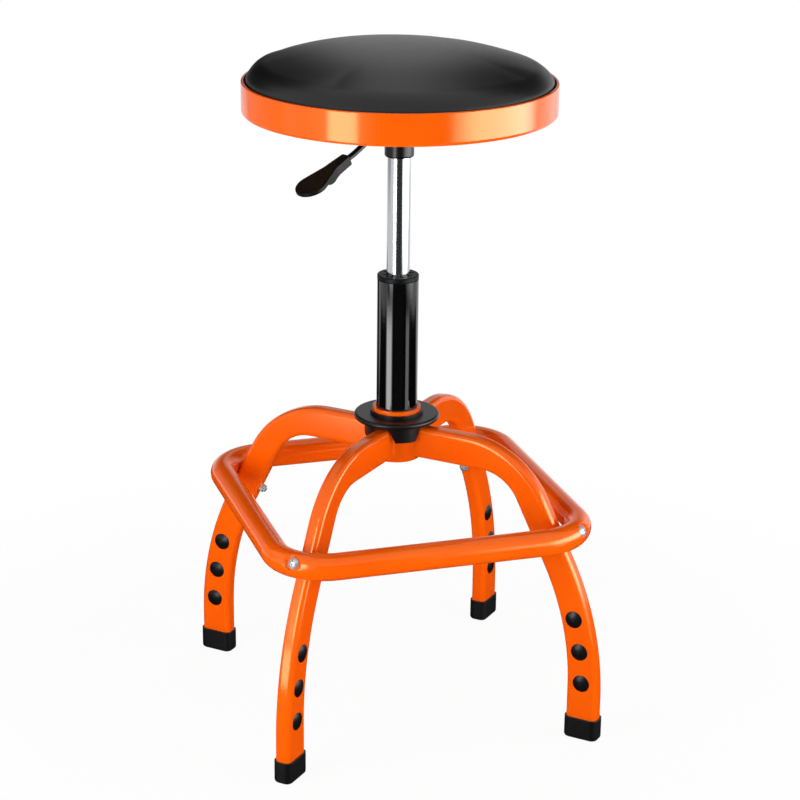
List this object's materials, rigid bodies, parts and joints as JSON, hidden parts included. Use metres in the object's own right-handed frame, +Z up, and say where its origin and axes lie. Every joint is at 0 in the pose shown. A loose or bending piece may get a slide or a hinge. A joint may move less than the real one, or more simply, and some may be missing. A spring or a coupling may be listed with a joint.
{
  "type": "workshop stool",
  "caption": "Round padded swivel stool on a gas lift with a release lever, bent tube legs and a square footrest ring for sitting at a workbench.",
  "frame": {"origin": "on the floor, under the column's axis, midway between the feet", "axes": "+Z up along the column; X and Y along the sides of the square footrest, legs on the diagonals"},
  "size_m": [0.4104, 0.4104, 0.829],
  "materials": {
    "orange_enamel": "gloss baked enamel",
    "black_enamel": "gloss black enamel",
    "black_plastic": "satin moulded",
    "rubber": "matte moulded",
    "chrome": "mirror plated",
    "zinc_steel": "zinc plated",
    "bright_steel": "ground",
    "cast_aluminium": "turned",
    "brass": "turned",
    "nylon": "moulded",
    "plywood": "sawn",
    "foam": "open cell",
    "vinyl": "satin grained"
  },
  "bodies": {
    "base": {"hub_tube": "orange_enamel", "hub_collar": "black_plastic", "footrest_ring": "orange_enamel", "footrest_bolts": "zinc_steel", "footrest_nuts": "zinc_steel", "column_tube": "black_enamel", "guide_bush": "black_plastic", "bearing_lower_race": "bright_steel", "leg_rear_right": "orange_enamel", "leg_rear_left": "orange_enamel", "leg_front_left": "orange_enamel", "leg_front_right": "orange_enamel", "leg_plugs_rear_right": "black_plastic", "leg_plugs_rear_left": "black_plastic", "leg_plugs_front_left": "black_plastic", "leg_plugs_front_right": "black_plastic", "foot_cap_rear_right": "rubber", "foot_cap_rear_left": "rubber", "foot_cap_front_left": "rubber", "foot_cap_front_right": "rubber"},
    "ball_cage": {"bearing_cage": "nylon", "bearing_balls": "bright_steel"},
    "swivel_core": {"piston_rod": "bright_steel", "piston": "cast_aluminium", "rod_clip": "zinc_steel", "bearing_upper_race": "bright_steel", "rubber_buffer": "rubber"},
    "seat": {"gas_cylinder": "chrome", "cylinder_guide": "cast_aluminium", "valve_body": "cast_aluminium", "taper_socket": "black_enamel", "mount_plate": "black_enamel", "seat_screws": "zinc_steel", "tee_nuts": "zinc_steel", "seat_board": "plywood", "seat_foam": "foam", "seat_cover": "vinyl", "seat_ring": "orange_enamel", "lever_bracket": "black_enamel", "pivot_pin": "zinc_steel"},
    "lever": {"lever_rod": "black_enamel", "lever_handle": "black_plastic"},
    "button": {"valve_button": "brass"}
  },
  "joints": [
    {"name": "seat_swivel", "type": "hinge", "parent": "base", "child": "swivel_core", "pos_m": [0, 0, 0.34], "axis": [0, 0, 1], "continuous": true},
    {"name": "cage_roll", "type": "hinge", "parent": "base", "child": "ball_cage", "pos_m": [0, 0, 0.33785], "axis": [0, 0, 1], "continuous": true},
    {"name": "height_lift", "type": "slide", "parent": "swivel_core", "child": "seat", "axis": [0, 0, 1], "range_m": [-0.13, 0]},
    {"name": "lever_lift", "type": "hinge", "parent": "seat", "child": "lever", "pos_m": [-0.02484, -0.01293, 0.7334], "axis": [-0.4617, 0.887, 0], "range_deg": [0, 8], "stiffness_Nm_per_rad": 3, "springref_deg": -2.86},
    {"name": "valve_press", "type": "slide", "parent": "seat", "child": "button", "axis": [0, 0, -1], "range_m": [0, 0.0045]}
  ],
  "couplings": [
    {"joint": "cage_roll", "follows": "seat_swivel", "ratio": 0.5},
    {"joint": "valve_press", "follows": "lever_lift", "m_per_rad": 0.028}
  ]
}
